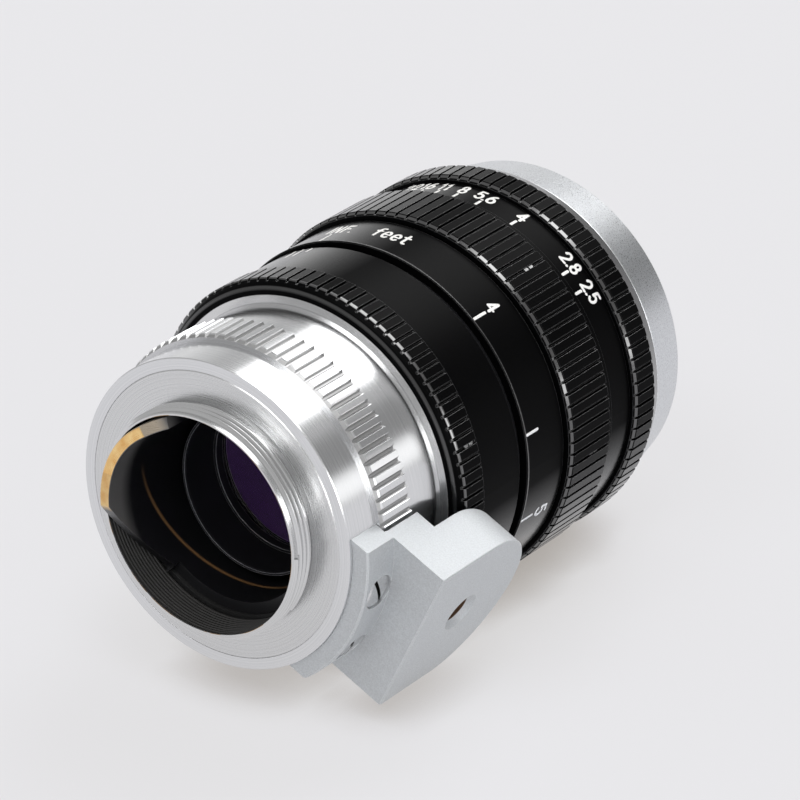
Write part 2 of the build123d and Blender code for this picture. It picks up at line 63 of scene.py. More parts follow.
bpy.context.collection.objects.link(camera)
bpy.context.scene.camera = camera
bpy.context.scene.view_settings.view_transform = "Standard"


# Studio
# A pale room with soft boxes: the largest beyond the lens, others overhead, behind the camera and on the
# right. Between them the room is a little darker, which gives the polished chrome its bands.
world = bpy.data.worlds.new("studio")
bpy.context.scene.world = world
world.use_nodes = True
tree = world.node_tree
tree.nodes.clear()


def add(tree, kind, links=(), **values):
    """Adds a shader node; links maps its inputs to sockets or constants, values are its properties."""
    node = tree.nodes.new(kind)
    for name, value in values.items():
        setattr(node, name, value)
    for name, value in dict(links).items():
        socket = node.inputs[name]
        if isinstance(value, bpy.types.NodeSocket):
            tree.links.new(value, socket)
        else:
            socket.default_value = value
    return node


sky = add(tree, "ShaderNodeTexCoord")


def soft_box(direction, inner, outer):
    """A mask that is 1 inside a cone about a direction and fades out to its outer angle, in degrees."""
    middle = Vector(direction).normalized()
    toward = add(tree, "ShaderNodeVectorMath", {0: sky.outputs["Generated"], 1: middle},
                 operation="DOT_PRODUCT")
    return add(tree, "ShaderNodeMapRange", {
        "Value": toward.outputs["Value"], "From Min": math.cos(math.radians(outer)),
        "From Max": math.cos(math.radians(inner))}, interpolation_type="SMOOTHSTEP").outputs["Result"]


room_level, backdrop_level = 0.52, 0.80
boxes = (                                    # direction, inner and outer angle, strength
    ((-0.04, 0.72, 0.69), 14, 22, 3.6),      # large box beyond the lens
    ((-0.02, 0.48, 0.88), 8, 17, 1.0),
    ((0.25, -0.22, 0.94), 7, 15, 6.0),       # overhead
    ((0.22, -0.66, 0.72), 5, 11, 4.5),       # about the camera, for the ends of the ribs
    ((-0.10, -0.60, 0.79), 6, 13, 4.5),
    ((0.73, -0.67, 0.14), 5, 11, 5.0),
    ((0.96, -0.20, 0.02), 5, 12, 5.0),       # on the right
    ((0.682, 0.722, 0.120), 3, 9, 0.9),
    ((-0.57, 0.82, 0.04), 5, 16, 0.30),      # paler walls on the left
    ((-0.66, 0.72, 0.20), 4, 16, 0.16),
    ((-0.12, 0.93, 0.35), 6, 14, -0.42),     # darker gaps between the boxes
    ((0.28, 0.94, 0.18), 8, 20, -0.34),
    ((0.58, 0.72, 0.38), 6, 14, -0.22))
room = room_level
for direction, inner, outer, strength in boxes:
    box = soft_box(direction, inner, outer)
    room = add(tree, "ShaderNodeMath", {0: box, 1: strength, 2: room}, operation="MULTIPLY_ADD").outputs[0]
light_path = add(tree, "ShaderNodeLightPath")
plain_view = add(tree, "ShaderNodeMath", {0: light_path.outputs["Is Camera Ray"],
                                          1: light_path.outputs["Is Transmission Ray"]}, operation="MAXIMUM")
backdrop = add(tree, "ShaderNodeMix", {"Factor": plain_view.outputs[0], "A": room, "B": backdrop_level},
               data_type="FLOAT")
background = add(tree, "ShaderNodeBackground", {"Color": (1, 1, 1, 1), "Strength": backdrop.outputs[0]})
add(tree, "ShaderNodeOutputWorld", {"Surface": background.outputs[0]})


# Floor
# A sheet of pale paper under the lens. It looks the same pale grey to the camera and in the metal,
# and its lit part keeps the soft shadow of the room. The deeper, warmer shadow close to the barrel and
# the foot is painted shadow: ambient occlusion mixes a darker, warmer colour into the paper's glow.
MM = 0.001                           # sizes below are in millimetres


def material(name):
    made = bpy.data.materials.new(name)
    made.use_nodes = True
    made.node_tree.nodes.clear()
    return made, made.node_tree


floor_radius, middle_y, shadow_reach, own_light = 2500, 40, 9, 0.8
paper_white, paper_shade, lit_paper = (0.80, 0.785, 0.775, 1), (0.50, 0.465, 0.43, 1), (0.70, 0.735, 0.85, 1)
floor_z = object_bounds()[0][2]
mesh = bpy.data.meshes.new("floor")
shape = bmesh.new()
bmesh.ops.create_circle(shape, cap_ends=True, segments=64, radius=floor_radius * MM,
                        matrix=Matrix.Translation((0, middle_y * MM, floor_z)))
shape.to_mesh(mesh)
shape.free()
floor = bpy.data.objects.new("floor", mesh)
bpy.context.collection.objects.link(floor)
paper, tree = material("pale_paper")
light_path = add(tree, "ShaderNodeLightPath")
seen = light_path.outputs["Is Camera Ray"]
for kind in ("Is Glossy Ray", "Is Transmission Ray"):
    seen = add(tree, "ShaderNodeMath", {0: seen, 1: light_path.outputs[kind]}, operation="MAXIMUM").outputs[0]
seen = add(tree, "ShaderNodeMath", {0: seen, 1: own_light}, operation="MULTIPLY").outputs[0]
plain = add(tree, "ShaderNodeBsdfDiffuse", {"Color": lit_paper})
# Painted shadow: near the lens, ambient occlusion turns the paper's glow darker and warmer
near = add(tree, "ShaderNodeAmbientOcclusion", {"Distance": shadow_reach * MM}, samples=8)
painted_shadow = add(tree, "ShaderNodeMapRange", {"Value": near.outputs["AO"], "From Min": 0.92, "From Max": 0.25})
shade = add(tree, "ShaderNodeMix", {"Factor": painted_shadow.outputs[0], 6: paper_white, 7: paper_shade},
            data_type="RGBA").outputs[2]
pale = add(tree, "ShaderNodeEmission", {"Color": shade, "Strength": 1.0})
sheet = add(tree, "ShaderNodeMixShader", {0: seen, 1: plain.outputs[0], 2: pale.outputs[0]})
add(tree, "ShaderNodeOutputMaterial", {"Surface": sheet.outputs[0]})
mesh.materials.append(paper)


# Mount ring
# The camera's side of the lens: a chromed brass ring with the 39 mm thread, turned in one piece with
# its flange. Its mouth is blackened and cut with fine rings that catch stray light.
same_point, crisp = 0.0005, math.radians(28)


def lathe(shape, outline, steps=192, turns=1.0, rise=0.0):
    """Spins an outline of (radius, y) corners about the optical axis; rise is its travel in one turn."""
    corners = [shape.verts.new((r * MM, y * MM, 0)) for r, y in outline]
    edges = [shape.edges.new(pair) for pair in zip(corners, corners[1:] + corners[:1])]
    count = round(steps * turns)
    bmesh.ops.spin(shape, geom=corners + edges, cent=(0, 0, 0), axis=(0, 1, 0), angle=math.tau * turns,
                   dvec=(0, rise * MM / steps, 0), steps=count, use_merge=turns == 1)
    if turns != 1:
        bmesh.ops.holes_fill(shape, edges=[edge for edge in shape.edges if edge.is_boundary], sides=0)


def piece(name, shape, finish, body, slot, *replaced):
    """Makes an object of a bmesh, smooth but with crisp corners, and puts it on its body."""
    bmesh.ops.remove_doubles(shape, verts=shape.verts, dist=same_point * MM)
    bmesh.ops.recalc_face_normals(shape, faces=shape.faces)
    for face in shape.faces:
        face.smooth = True
    for edge in shape.edges:
        edge.smooth = edge.calc_face_angle(math.pi) < crisp
    mesh = bpy.data.meshes.new(name)
    shape.to_mesh(mesh)
    shape.free()
    mesh.materials.append(finish)
    made = bpy.data.objects.new(name, mesh)
    bpy.context.collection.objects.link(made)
    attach(made, body)
    if replaced:
        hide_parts(*replaced)
    return made


def group(name, inputs, output):
    """Starts a shader node group with number inputs and one number output."""
    made = bpy.data.node_groups.new(name, "ShaderNodeTree")
    for label, value in inputs.items():
        made.interface.new_socket(label, in_out="INPUT", socket_type="NodeSocketFloat").default_value = value
    made.interface.new_socket(output, in_out="OUTPUT", socket_type="NodeSocketFloat")
    return made, made.nodes.new("NodeGroupInput"), made.nodes.new("NodeGroupOutput").inputs[0]


def use(tree, kind, **values):
    """Places a group in a material with its own values, and gives its output."""
    node = tree.nodes.new("ShaderNodeGroup")
    node.node_tree = kind
    for name, value in values.items():
        node.inputs[name.replace("_", " ")].default_value = value
    return node.outputs[0]


def calculate(tree, operation, *terms):
    return add(tree, "ShaderNodeMath", dict(enumerate(terms)), operation=operation).outputs[0]


def ramp(tree, value, zero, one):
    """Rises from 0 to 1 as a value goes from zero to one, which may be the lower of the two."""
    return add(tree, "ShaderNodeMapRange", {"Value": value, "From Min": zero, "From Max": one}).outputs[0]


def cylindrical(tree):
    """Distance from the optical axis, place along it, and the point itself, in metres."""
    place = add(tree, "ShaderNodeTexCoord").outputs["Object"]
    split = add(tree, "ShaderNodeSeparateXYZ", {0: place})
    flat = add(tree, "ShaderNodeCombineXYZ", {0: split.outputs[0], 2: split.outputs[2]})
    radius = add(tree, "ShaderNodeVectorMath", {0: flat.outputs[0]}, operation="LENGTH").outputs["Value"]
    return radius, split.outputs[1], place


# Fine rings that a lathe tool leaves, also on faces, since they follow radius and length together
turning, given, out = group("turning_marks", {"Lines per Metre": 7000.0, "Wander": 0.06 * MM}, "Value")
radius, along, place = cylindrical(turning)
wobble = add(turning, "ShaderNodeTexNoise", {"Vector": place, "Scale": 160.0, "Detail": 2.0}).outputs[0]
path = calculate(turning, "ADD", radius, along)
path = calculate(turning, "MULTIPLY_ADD", wobble, given.outputs["Wander"], path)
path = calculate(turning, "MULTIPLY", path, given.outputs["Lines per Metre"])
lines = add(turning, "ShaderNodeTexNoise", {"W": path, "Scale": 1.0, "Detail": 3.0, "Roughness": 0.7},
            noise_dimensions="1D")
turning.links.new(lines.outputs[0], out)

# 1 where a point is further from the optical axis than a radius
beyond, given, out = group("beyond_radius", {"Radius": 26 * MM, "Fade": 0.04 * MM}, "Mask")
radius, along, place = cylindrical(beyond)
offset = calculate(beyond, "SUBTRACT", radius, given.outputs["Radius"])
ratio = add(beyond, "ShaderNodeMath", {0: offset, 1: given.outputs["Fade"]}, operation="DIVIDE",
            use_clamp=True)
beyond.links.new(ratio.outputs[0], out)

# Grain of a blasted, cast or painted surface
grain, given, out = group("fine_grain", {"Scale": 9000.0}, "Value")
place = add(grain, "ShaderNodeTexCoord").outputs["Object"]
pits = add(grain, "ShaderNodeTexNoise", {"Vector": place, "Scale": given.outputs["Scale"],
                                         "Detail": 3.0, "Roughness": 0.75})
grain.links.new(pits.outputs[0], out)

# 1 on sharp corners, where a finish wears
edge_mask, given, out = group("edge_mask", {"Gain": 1.0, "Radius": 0.12 * MM}, "Mask")
rounded = add(edge_mask, "ShaderNodeBevel", {"Radius": given.outputs["Radius"]}, samples=4)
flat = add(edge_mask, "ShaderNodeNewGeometry")
facing = add(edge_mask, "ShaderNodeVectorMath", {0: rounded.outputs[0], 1: flat.outputs["Normal"]},
             operation="DOT_PRODUCT").outputs["Value"]
bend = calculate(edge_mask, "SUBTRACT", 1.0, facing)
bend = add(edge_mask, "ShaderNodeMath", {0: bend, 1: given.outputs["Gain"]}, operation="MULTIPLY",
           use_clamp=True)
edge_mask.links.new(bend.outputs[0], out)


def spread(tree, value, low, high):
    """Maps the middle of a noise, 0.3 to 0.7, to a range."""
    return add(tree, "ShaderNodeMapRange", {"Value": value, "From Min": 0.3, "From Max": 0.7,
                                            "To Min": low, "To Max": high}).outputs["Result"]


def tint(tree, factor, first, second):
    """Mixes two colours, each a socket or (r, g, b)."""
    ends = [c if isinstance(c, bpy.types.NodeSocket) else (*c, 1) for c in (first, second)]
    return add(tree, "ShaderNodeMix", {"Factor": factor, 6: ends[0], 7: ends[1]}, data_type="RGBA").outputs[2]


def blend(tree, factor, first, second):
    """Mixes two numbers."""
    mixed = add(tree, "ShaderNodeMix", {"Factor": factor, "A": first, "B": second}, data_type="FLOAT")
    return mixed.outputs[0]


def surface(tree, colour, roughness, metallic, height, bump, edge=0.0, coat=0.0, **constants):
    """A Principled surface with bump; its corners look rounded to edge, a radius in millimetres."""
    relief = add(tree, "ShaderNodeBump", {"Strength": bump, "Distance": 0.02 * MM, "Height": height})
    if edge:
        rounded = add(tree, "ShaderNodeBevel", {"Radius": edge * MM}, samples=4)
        tree.links.new(rounded.outputs[0], relief.inputs["Normal"])
    shader = add(tree, "ShaderNodeBsdfPrincipled", {
        "Base Color": colour, "Roughness": roughness, "Metallic": metallic, "Coat Weight": coat,
        "Normal": relief.outputs[0]})
    for name, value in constants.items():
        shader.inputs[name.replace("_", " ")].default_value = value
    add(tree, "ShaderNodeOutputMaterial", {"Surface": shader.outputs[0]})


thread_crest, thread_root, thread_pitch, thread_turns = 19.5, 18.95, 0.977, 3.1
mouth_r, mouth_rear, mouth_front = 18.5, -4.4, 1.9
ring_count, ring_pitch, ring_depth = 9, 0.63, 0.16
flange_r, flange_front, spigot_r, chamfer = 24.4, 2.5, 19.7, 0.15

shape = bmesh.new()
outline = [
    (mouth_r, mouth_rear), (mouth_r + 0.30, mouth_rear), (thread_root, mouth_rear + chamfer),
    (thread_root, -0.70), (thread_root - 0.2, -0.60), (thread_root - 0.2, -0.18), (thread_root, -0.03),
    (thread_root + 0.2, 0.0), (flange_r - chamfer, 0.0), (flange_r, chamfer), (flange_r, flange_front),
    (spigot_r, flange_front), (spigot_r, mouth_front), (mouth_r, mouth_front)]
for n in range(ring_count):
    y = mouth_front - 0.25 - n * ring_pitch
    outline += [(mouth_r, y), (mouth_r + ring_depth, y - 0.10),
                (mouth_r + ring_depth, y - 0.28), (mouth_r, y - 0.40)]
lathe(shape, outline)
thread_base, thread_y = thread_root - 0.05, mouth_rear + 0.08
lathe(shape, [(thread_base, thread_y), (thread_crest, thread_y + 0.36), (thread_crest, thread_y + 0.46),
              (thread_base, thread_y + 0.82)], turns=thread_turns, rise=thread_pitch)

# The outside is satin and the thread brighter, the mouth's edge is rubbed down to the brass in places
satin_chrome, tree = material("satin_chrome")
marks = use(tree, turning, Lines_per_Metre=6000.0)
radius, along, place = cylindrical(tree)
rub = add(tree, "ShaderNodeTexNoise", {"Vector": place, "Scale": 220.0, "Detail": 3.0}).outputs[0]
wear_and_painted_light = ramp(tree, rub, 0.50, 0.56)
lip = ramp(tree, along, (mouth_rear + 0.20) * MM, (mouth_rear + 0.04) * MM)
edge = ramp(tree, radius, (mouth_r + 0.10) * MM, (mouth_r + 0.03) * MM)
thread = ramp(tree, along, -0.02 * MM, -0.10 * MM)
outer = calculate(tree, "MAXIMUM", use(tree, beyond, Radius=(mouth_r + 0.20) * MM), lip)
wear_and_painted_light = calculate(tree, "MULTIPLY", calculate(tree, "MULTIPLY", wear_and_painted_light, edge), outer)
plated = tint(tree, spread(tree, marks, 0, 1), (0.60, 0.605, 0.61), (0.76, 0.76, 0.76))
plated = tint(tree, wear_and_painted_light, plated, (0.42, 0.26, 0.12))
polish = blend(tree, thread, spread(tree, marks, 0.20, 0.32), 0.13)
surface(tree, tint(tree, outer, (0.026, 0.025, 0.024), plated), blend(tree, outer, 0.34, polish), outer,
        marks, 0.22)
piece("mount_thread_ring", shape, satin_chrome, "fixed_barrel", "satin_chrome", "mount_ring")


def dress(finish, *names):
    """Gives a finish to CAD nodes that keep their own shape."""
    for name in names:
        nodes[name].data.materials.clear()
        nodes[name].data.materials.append(finish)


def from_to(tree, value, low, high, fade=0.03):
    """A mask that is 1 where a length lies between low and high, in millimetres."""
    above = ramp(tree, value, (low - fade) * MM, low * MM)
    below = ramp(tree, value, (high + fade) * MM, high * MM)
    return calculate(tree, "MULTIPLY", above, below)


# The bore and the sleeve under the rings are black, and the flute floors rougher, with painted shade
rear_end, anywhere = (-1, 5), 40                       # anywhere is a radius that nothing reaches
bore_r, waist_r, flute_r, flute_y = 24.3, 26.15, (26.3, 27.42), (7.22, 14.88)
polished_chrome, tree = material("polished_chrome")
marks = use(tree, turning, Lines_per_Metre=4500.0)
radius, along, place = cylindrical(tree)
outer = calculate(tree, "MAXIMUM", from_to(tree, along, *rear_end), from_to(tree, radius, waist_r, anywhere))
outer = calculate(tree, "MULTIPLY", from_to(tree, radius, bore_r, anywhere), outer)
flute = calculate(tree, "MULTIPLY", from_to(tree, radius, *flute_r, 0.06), from_to(tree, along, *flute_y))
bright = tint(tree, spread(tree, marks, 0, 1), (0.68, 0.69, 0.70), (0.80, 0.80, 0.81))
# Painted shade: the recessed flute floors get a darker chrome colour than the lands
bright = tint(tree, flute, bright, (0.40, 0.40, 0.40))
rough = blend(tree, flute, spread(tree, marks, 0.13, 0.22), 0.42)
flare_y, flare_r, flare_rate = 19.0, 26.5, 0.80e6      # the waist opens a little towards the black rings
flare = calculate(tree, "MAXIMUM", calculate(tree, "SUBTRACT", along, flare_y * MM), 0.0)
flare = calculate(tree, "MULTIPLY", calculate(tree, "MULTIPLY", flare, flare), flare_rate)
flare = calculate(tree, "MULTIPLY", flare, from_to(tree, radius, flare_r, anywhere))
surface(tree, tint(tree, outer, (0.012, 0.012, 0.012), bright), blend(tree, outer, 0.5, rough), outer,
        calculate(tree, "MULTIPLY_ADD", marks, 0.10, flare), 1.0, edge=0.06)
dress(polished_chrome, "rear_barrel")


# Tripod foot
# One milled block of brass, blasted to a fine grain and chromed, with a round front end and a ledge
# that wraps the barrel. The tapped hole is bare and brown with age.
blasted, tree = material("blasted_chrome")
pits = use(tree, grain, Scale=4200.0)
edge = use(tree, edge_mask, Gain=3.0)
grey = tint(tree, spread(tree, pits, 0, 1), (0.52, 0.53, 0.55), (0.80, 0.82, 0.84))
grey = tint(tree, edge, grey, (0.90, 0.90, 0.90))
surface(tree, grey, spread(tree, pits, 0.24, 0.40), 1.0, pits, 0.5, edge=0.08)
dress(blasted, "front_ring")

foot_phi, hole_y, hole_r = -25.4, 20.4, 2.58
foot_finish, tree = material("foot_chrome")
pits = use(tree, grain, Scale=4200.0)
edge = use(tree, edge_mask, Gain=3.0)
place = add(tree, "ShaderNodeTexCoord").outputs["Object"]
turned = add(tree, "ShaderNodeMapping", {"Vector": place, "Rotation": (0, math.radians(foot_phi), 0)})
split = add(tree, "ShaderNodeSeparateXYZ", {0: turned.outputs[0]})
off = calculate(tree, "SUBTRACT", split.outputs[1], hole_y * MM)
off = add(tree, "ShaderNodeCombineXYZ", {0: off, 1: split.outputs[2]}).outputs[0]
off = add(tree, "ShaderNodeVectorMath", {0: off}, operation="LENGTH").outputs["Value"]
solid = calculate(tree, "GREATER_THAN", off, hole_r * MM)
grey = tint(tree, spread(tree, pits, 0, 1), (0.52, 0.535, 0.55), (0.71, 0.73, 0.745))
grey = tint(tree, edge, grey, (0.92, 0.92, 0.92))
surface(tree, tint(tree, solid, (0.12, 0.06, 0.03), grey), spread(tree, pits, 0.58, 0.76),
        blend(tree, solid, 0.4, 1.0), pits, 0.5, edge=0.10)
dress(foot_finish, "tripod_foot")


# Foot screws
# Two slotted screws of bright steel hold the foot. Their heads are slightly domed and sunk in the ledge.
screw_y, screw_phis = 4.6, (foot_phi - 12.6, foot_phi + 12.6)
head_r, head_seat, head_rim, head_top, dome_r = 3.0, 27.35, 28.95, 29.38, 2.9
slot_floor, slot_half, slot_turn = 28.5, 0.35, math.radians(25)
shank_r, shank_end, shank_chamfer = 1.5, 22.1, 0.3


def turn_screw(shape, outline):
    """Spins (height, radius) corners about a screw's axis, which points along +X."""
    corners = [shape.verts.new((h * MM, (screw_y + r) * MM, 0)) for h, r in outline]
    edges = [shape.edges.new(pair) for pair in zip(corners, corners[1:])]
    bmesh.ops.spin(shape, geom=corners + edges, cent=(0, screw_y * MM, 0), axis=(1, 0, 0), angle=math.tau,
                   steps=48, use_merge=True)
    bmesh.ops.remove_doubles(shape, verts=shape.verts, dist=same_point * MM)


dome = [(head_rim + (head_top - head_rim) * (1 - (r / dome_r) ** 2), r)
        for r in (dome_r, 2.4, 1.8, 1.2, 0.6, 0.0)]
shape = bmesh.new()
for phi in screw_phis:
    for side in (-1, 0, 1):
        part = bmesh.new()
        if side:
            turn_screw(part, [(slot_floor - 0.2, 0), (slot_floor - 0.2, head_r),
                              (head_rim - 0.1, head_r), *dome])
            normal = Vector((0, math.cos(slot_turn), math.sin(slot_turn))) * side
            bmesh.ops.bisect_plane(
                part, geom=part.verts[:] + part.edges[:] + part.faces[:], plane_no=normal, clear_inner=True,
                plane_co=Vector((0, screw_y * MM, 0)) + normal * slot_half * MM)
            bmesh.ops.holes_fill(part, edges=[e for e in part.edges if e.is_boundary], sides=0)
        else:
            turn_screw(part, [(shank_end, 0), (shank_end, shank_r - shank_chamfer),
                              (shank_end + shank_chamfer, shank_r), (head_seat, shank_r),
                              (head_seat, head_r - 0.1), (head_seat + 0.1, head_r),
                              (slot_floor, head_r), (slot_floor, 0)])
        bmesh.ops.rotate(part, verts=part.verts, cent=(0, 0, 0),
                         matrix=Matrix.Rotation(-math.radians(phi), 3, "Y"))
        mesh = bpy.data.meshes.new("screw_part")
        part.to_mesh(mesh)
        part.free()
        shape.from_mesh(mesh)
        bpy.data.meshes.remove(mesh)

bright_steel, tree = material("bright_steel")
pits = use(tree, grain, Scale=2600.0)
edge = use(tree, edge_mask, Gain=2.0)
steel = tint(tree, spread(tree, pits, 0, 1), (0.64, 0.64, 0.65), (0.82, 0.82, 0.82))
steel = tint(tree, edge, steel, (0.95, 0.95, 0.95))
# Darker below a radius just under the heads' rim: the floor and lower walls of each slot, and the hidden
# shank
open_air = use(tree, beyond, Radius=(head_rim - 0.10) * MM, Fade=0.10 * MM)
surface(tree, tint(tree, open_air, (0.05, 0.045, 0.04), steel), spread(tree, pits, 0.12, 0.22), 1.0,
        pits, 0.12, edge=0.05)
piece("foot_slotted_screws", shape, bright_steel, "fixed_barrel", "bright_screw", "foot_screws")
dress(bright_steel, "guide_key_screws")


# Rangefinder cam
# A brass ring that slides in the mount and pushes the camera's lever with its long tongue. The outside
# and the tongue's end are bare brass; the inside is blackened, with painted light near the mouth: grey
# there, fading to black deeper in. A brown line runs round the inside and fades out towards the top.
patches, given, out = group("dull_patches", {"Scale": 500.0}, "Value")
place = add(patches, "ShaderNodeTexCoord").outputs["Object"]
cloud = add(patches, "ShaderNodeTexNoise", {"Vector": place, "Scale": given.outputs["Scale"], "Detail": 4.0})
patches.links.new(cloud.outputs[0], out)


def worn_brass(tree):
    """Brass that has dulled a little, with turning marks: its colour, roughness and marks."""
    marks = use(tree, turning, Lines_per_Metre=7000.0)
    dull = spread(tree, use(tree, patches), 0, 1)
    return tint(tree, dull, (0.78, 0.44, 0.15), (0.98, 0.72, 0.34)), spread(tree, marks, 0.24, 0.38), marks


cam_bore_r, painted_light_rear, painted_light_front = 16.25, -9.0, -3.5
line_plane, line_y, line_half = (-0.10, 1.0, 0.30), 4.2, 0.45      # the worn line runs a little askew
tongue_z, tongue_step, bare_front, milled_rear = 5, 1.6, -5.6, -6.25

cam_finish, tree = material("cam_brass")
colour, roughness, marks = worn_brass(tree)
radius, along, place = cylindrical(tree)
height = add(tree, "ShaderNodeSeparateXYZ", {0: place}).outputs[2]
tilted = add(tree, "ShaderNodeVectorMath", {0: place, 1: line_plane}, operation="DOT_PRODUCT")
line = calculate(tree, "ABSOLUTE", calculate(tree, "SUBTRACT", tilted.outputs["Value"], line_y * MM))
line = ramp(tree, line, line_half * MM, 0.1 * MM)
line = calculate(tree, "MULTIPLY", line, ramp(tree, height, 4 * MM, -6 * MM))
# Painted light: the blackened inside is grey near the mouth and fades to black deeper in
wear_and_painted_light = from_to(tree, along, painted_light_rear, painted_light_front, 2.5)
black = tint(tree, wear_and_painted_light, (0.005, 0.005, 0.006), (0.085, 0.082, 0.078))
black = tint(tree, calculate(tree, "MULTIPLY", line, 0.5), black, (0.34, 0.18, 0.07))
upper = calculate(tree, "GREATER_THAN", height, tongue_z * MM)
deep = calculate(tree, "SUBTRACT", along, calculate(tree, "MULTIPLY", upper, tongue_step * MM))
deep = calculate(tree, "SUBTRACT", 1.0, ramp(tree, deep, (bare_front - 1.0) * MM, bare_front * MM))
bare = calculate(tree, "MULTIPLY", use(tree, beyond, Radius=cam_bore_r * MM, Fade=0.06 * MM), deep)
milled = calculate(tree, "MULTIPLY", from_to(tree, along, milled_rear, 0.0, 0.1), upper)
colour = tint(tree, milled, colour, (0.50, 0.43, 0.34))
surface(tree, tint(tree, bare, black, colour), blend(tree, bare, 0.38, roughness), bare, marks, 0.25,
        edge=0.06)
dress(cam_finish, "rangefinder_cam")

brass, tree = material("brass")
colour, roughness, marks = worn_brass(tree)
surface(tree, colour, roughness, 1.0, marks, 0.2)
dress(brass, "fixed_helicoid", "guide_keys", "head_retaining_ring")


# Black rings
# Index ring, focusing rings and aperture rings: aluminium, turned and milled, under a hard black
# enamel that is a little rubbed on its edges and carries some dust.
rib_ends, rib_slope = (24.1, 51.7, 70.55), (0.35, 0.68)      # where ribs start, and their sloping ends
rear_y, rear_r, shoulder_y = (23.0, 23.24), (26.0, 28.3), (23.36, 23.50)   # rear face of the index ring
lip_y, lip_r = 41.45, 31.02
gloss = dict(Specular_IOR_Level=0.03, Coat_IOR=2.4, Coat_Roughness=0.18)

# Specks of dust: one in a few cells of a pattern, each of its own size
dust, given, out = group("dust_specks", {"Scale": 420.0, "Size": 0.035}, "Mask")
place = add(dust, "ShaderNodeTexCoord").outputs["Object"]
cells = add(dust, "ShaderNodeTexVoronoi", {"Vector": place, "Scale": given.outputs["Scale"]})
chance = add(dust, "ShaderNodeSeparateColor", {0: cells.outputs["Color"]})
rare = calculate(dust, "GREATER_THAN", chance.outputs[0], 0.88)
size = calculate(dust, "MULTIPLY", chance.outputs[1], given.outputs["Size"])
speck = calculate(dust, "LESS_THAN", cells.outputs["Distance"], size)
dust.links.new(calculate(dust, "MULTIPLY", speck, rare), out)


def enamel(tree):
    """Black enamel with rubbed edges and dust: its colour, roughness, bare metal, gloss and grain."""
    pits = use(tree, grain, Scale=2500.0)
    edge = use(tree, edge_mask, Gain=1.4, Radius=0.18 * MM)
    colour = tint(tree, spread(tree, pits, 0, 1), (0.0007, 0.0007, 0.0008), (0.0016, 0.0016, 0.0018))
    colour = tint(tree, edge, colour, (0.26, 0.26, 0.26))
    colour = tint(tree, use(tree, dust), colour, (0.30, 0.30, 0.29))
    grazing = add(tree, "ShaderNodeLayerWeight", {"Blend": 0.5}).outputs["Facing"]
    coat = ramp(tree, grazing, 0.54, 0.78)
    radius, along, place = cylindrical(tree)
    for rib_end in rib_ends:
        slope = from_to(tree, along, rib_end + rib_slope[0], rib_end + rib_slope[1], 0.10)
        coat = calculate(tree, "MAXIMUM", coat, calculate(tree, "MULTIPLY", slope, 0.8))
    return colour, blend(tree, edge, spread(tree, pits, 0.36, 0.44), 0.20), edge, coat, pits


black_enamel, tree = material("black_enamel")
colour, roughness, edge, coat, pits = enamel(tree)
surface(tree, colour, roughness, edge, pits, 0.10, edge=0.11, coat=coat, **gloss)
dress(black_enamel, "focus_grip_ring", "aperture_scale_ring", "aperture_grip_ring")

# The flat rear face of the index ring is bare metal, and its shoulder catches the light
bright_rear, tree = material("black_enamel_bright_rear")
colour, roughness, edge, coat, pits = enamel(tree)
radius, along, place = cylindrical(tree)
rear = calculate(tree, "MULTIPLY", from_to(tree, along, *rear_y), from_to(tree, radius, *rear_r, 0.1))
shoulder = calculate(tree, "MULTIPLY", from_to(tree, along, *shoulder_y, 0.10), 0.55)
surface(tree, tint(tree, rear, colour, (0.72, 0.72, 0.72)), blend(tree, rear, roughness, 0.24),
        calculate(tree, "MAXIMUM", edge, rear), pits, 0.10, edge=0.11,
        coat=calculate(tree, "MAXIMUM", coat, shoulder), **gloss)
dress(bright_rear, "index_ring")

# The rear lip of the focusing scale is rubbed grey
rubbed_lip, tree = material("black_enamel_rubbed_lip")
colour, roughness, edge, coat, pits = enamel(tree)
radius, along, place = cylindrical(tree)
lip = ramp(tree, along, (lip_y + 0.07) * MM, lip_y * MM)
lip = calculate(tree, "MULTIPLY", lip, use(tree, beyond, Radius=lip_r * MM, Fade=0.02 * MM))
surface(tree, tint(tree, lip, colour, (0.11, 0.11, 0.11)), roughness, calculate(tree, "MAXIMUM", edge, lip),
        pits, 0.10, edge=0.05, coat=coat, **gloss)
dress(rubbed_lip, "focus_scale_ring")

# The grub screws and the longer drive screw are blackened steel, bright on the edges of their slots
dark_steel, tree = material("dark_steel")
pits = use(tree, grain, Scale=5000.0)
edge = use(tree, edge_mask, Gain=2.0)
steel = tint(tree, spread(tree, pits, 0, 1), (0.08, 0.08, 0.08), (0.42, 0.42, 0.42))
surface(tree, tint(tree, edge, steel, (0.95, 0.95, 0.94)), spread(tree, pits, 0.22, 0.36), 0.9, pits, 0.2,
        edge=0.05)
dress(dark_steel, "index_set_screws", "focus_set_screws", "aperture_set_screws", "aperture_drive_screw")


# Marks
# Figures and lines are engraved with a round cutter and filled with white paint. Each stroke is a tube
# with round ends, flattened and wrapped on its ring; figures read from the front of the lens.
def arc(x, y, wide, high, start, stop, count=10):
    angles = [math.radians(start + (stop - start) * n / count) for n in range(count + 1)]
    return [(x + wide * math.cos(a), y + high * math.sin(a)) for a in angles]


